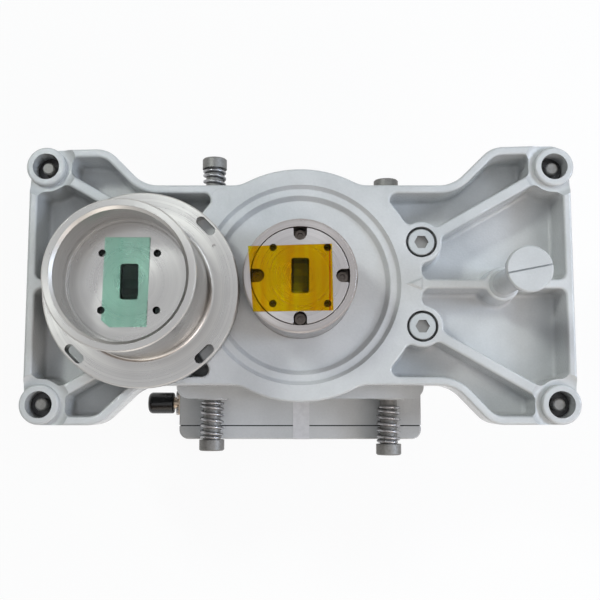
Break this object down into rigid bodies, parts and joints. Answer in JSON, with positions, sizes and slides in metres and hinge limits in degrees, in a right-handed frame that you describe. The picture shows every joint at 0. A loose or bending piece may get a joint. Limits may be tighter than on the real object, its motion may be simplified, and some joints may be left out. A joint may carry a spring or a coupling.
{
  "type": "hybrid coupler",
  "caption": "Waveguide hybrid coupler that joins two radio units to one antenna: ribbed cast plate, turned round port, sprung captive screws, rear housing, loose adapter cup.",
  "frame": {"origin": "on the centre port's axis, in the plane of the housing's flat rear face, on which the coupler lies", "axes": "+Z out of the antenna port, +X along the arms to the slotted post, +Y towards the long side away from the housing's cover"},
  "size_m": [0.2656, 0.1572, 0.1836],
  "materials": {
    "cast_grey": "light grey paint with a fine orange-peel texture, semi-matt",
    "turned_aluminium": "bright turned, fine rings",
    "satin_aluminium": "satin turned, slightly warm",
    "milled_aluminium": "milled",
    "steel": "plain",
    "grey_steel": "grey coated steel, satin",
    "spring_steel": "spring wire",
    "amber_film": "clear amber film",
    "green_film": "pale green film, half clear",
    "paper": "matt label stock, blank",
    "seal_rubber": "matt",
    "plated_brass": "gold plated",
    "white_plastic": "plain",
    "gold": "gold plated",
    "black_plastic": "semi-matt",
    "absorber": "iron loaded resin"
  },
  "bodies": {
    "coupler": {"front_plate": "cast_grey", "transition_body": "cast_grey", "rear_housing": "cast_grey", "housing_cover": "cast_grey", "port_hub": "turned_aluminium", "port_disc": "turned_aluminium", "adapter_cup": "satin_aluminium", "radio_port_left": "turned_aluminium", "radio_port_right": "turned_aluminium", "hybrid_half_upper": "milled_aluminium", "hybrid_half_lower": "milled_aluminium", "port_screws": "steel", "clamp_screws": "grey_steel", "cover_screws": "steel", "coax_screws": "steel", "hybrid_screws": "steel", "hybrid_dowels": "steel", "slotted_post": "cast_grey", "port_film": "amber_film", "cup_film": "green_film", "seal_sticker": "paper", "hub_seal": "seal_rubber", "radio_seal_left": "seal_rubber", "radio_seal_right": "seal_rubber", "cover_gasket": "seal_rubber", "coax_connector": "plated_brass", "coax_insulator": "white_plastic", "coax_pin": "gold", "absorber_load": "absorber", "side_spring_lower_left": "spring_steel", "corner_spring_lower_left": "spring_steel", "side_spring_lower_right": "spring_steel", "corner_spring_lower_right": "spring_steel", "side_spring_upper_left": "spring_steel", "corner_spring_upper_left": "spring_steel", "side_spring_upper_right": "spring_steel", "corner_spring_upper_right": "spring_steel"},
    "corner_screw_lower_left": {"corner_screw_lower_left": "grey_steel", "corner_washer_lower_left": "black_plastic"},
    "corner_screw_lower_right": {"corner_screw_lower_right": "grey_steel", "corner_washer_lower_right": "black_plastic"},
    "corner_screw_upper_left": {"corner_screw_upper_left": "grey_steel", "corner_washer_upper_left": "black_plastic"},
    "corner_screw_upper_right": {"corner_screw_upper_right": "grey_steel", "corner_washer_upper_right": "black_plastic"},
    "side_screw_lower_left": {"side_screw_lower_left": "grey_steel", "side_ring_lower_left": "spring_steel"},
    "side_screw_lower_right": {"side_screw_lower_right": "grey_steel", "side_ring_lower_right": "spring_steel"},
    "side_screw_upper_left": {"side_screw_upper_left": "grey_steel", "side_ring_upper_left": "spring_steel"},
    "side_screw_upper_right": {"side_screw_upper_right": "grey_steel", "side_ring_upper_right": "spring_steel"},
    "dust_cap": {"dust_cap": "black_plastic"}
  },
  "joints": [
    {"name": "corner_screw_lower_left_slide", "type": "slide", "parent": "coupler", "child": "corner_screw_lower_left", "axis": [0, 0, 1], "range_m": [0, 0.009], "stiffness_N_per_m": 400, "deforming": ["corner_spring_lower_left"]},
    {"name": "corner_screw_lower_right_slide", "type": "slide", "parent": "coupler", "child": "corner_screw_lower_right", "axis": [0, 0, 1], "range_m": [0, 0.009], "stiffness_N_per_m": 400, "deforming": ["corner_spring_lower_right"]},
    {"name": "corner_screw_upper_left_slide", "type": "slide", "parent": "coupler", "child": "corner_screw_upper_left", "axis": [0, 0, 1], "range_m": [0, 0.009], "stiffness_N_per_m": 400, "deforming": ["corner_spring_upper_left"]},
    {"name": "corner_screw_upper_right_slide", "type": "slide", "parent": "coupler", "child": "corner_screw_upper_right", "axis": [0, 0, 1], "range_m": [0, 0.009], "stiffness_N_per_m": 400, "deforming": ["corner_spring_upper_right"]},
    {"name": "side_screw_lower_left_slide", "type": "slide", "parent": "coupler", "child": "side_screw_lower_left", "axis": [0, 1, 0], "range_m": [-0.0022, 0.0122], "stiffness_N_per_m": 400, "deforming": ["side_spring_lower_left"]},
    {"name": "side_screw_lower_right_slide", "type": "slide", "parent": "coupler", "child": "side_screw_lower_right", "axis": [0, 1, 0], "range_m": [0, 0.0144], "stiffness_N_per_m": 400, "deforming": ["side_spring_lower_right"]},
    {"name": "side_screw_upper_left_slide", "type": "slide", "parent": "coupler", "child": "side_screw_upper_left", "axis": [0, -1, 0], "range_m": [-0.0022, 0.0122], "stiffness_N_per_m": 400, "deforming": ["side_spring_upper_left"]},
    {"name": "side_screw_upper_right_slide", "type": "slide", "parent": "coupler", "child": "side_screw_upper_right", "axis": [0, -1, 0], "range_m": [-0.0139, 0.0005], "deforming": ["side_spring_upper_right"]},
    {"name": "dust_cap_pull", "type": "slide", "parent": "coupler", "child": "dust_cap", "axis": [-1, 0, 0], "range_m": [0, 0.012]}
  ]
}
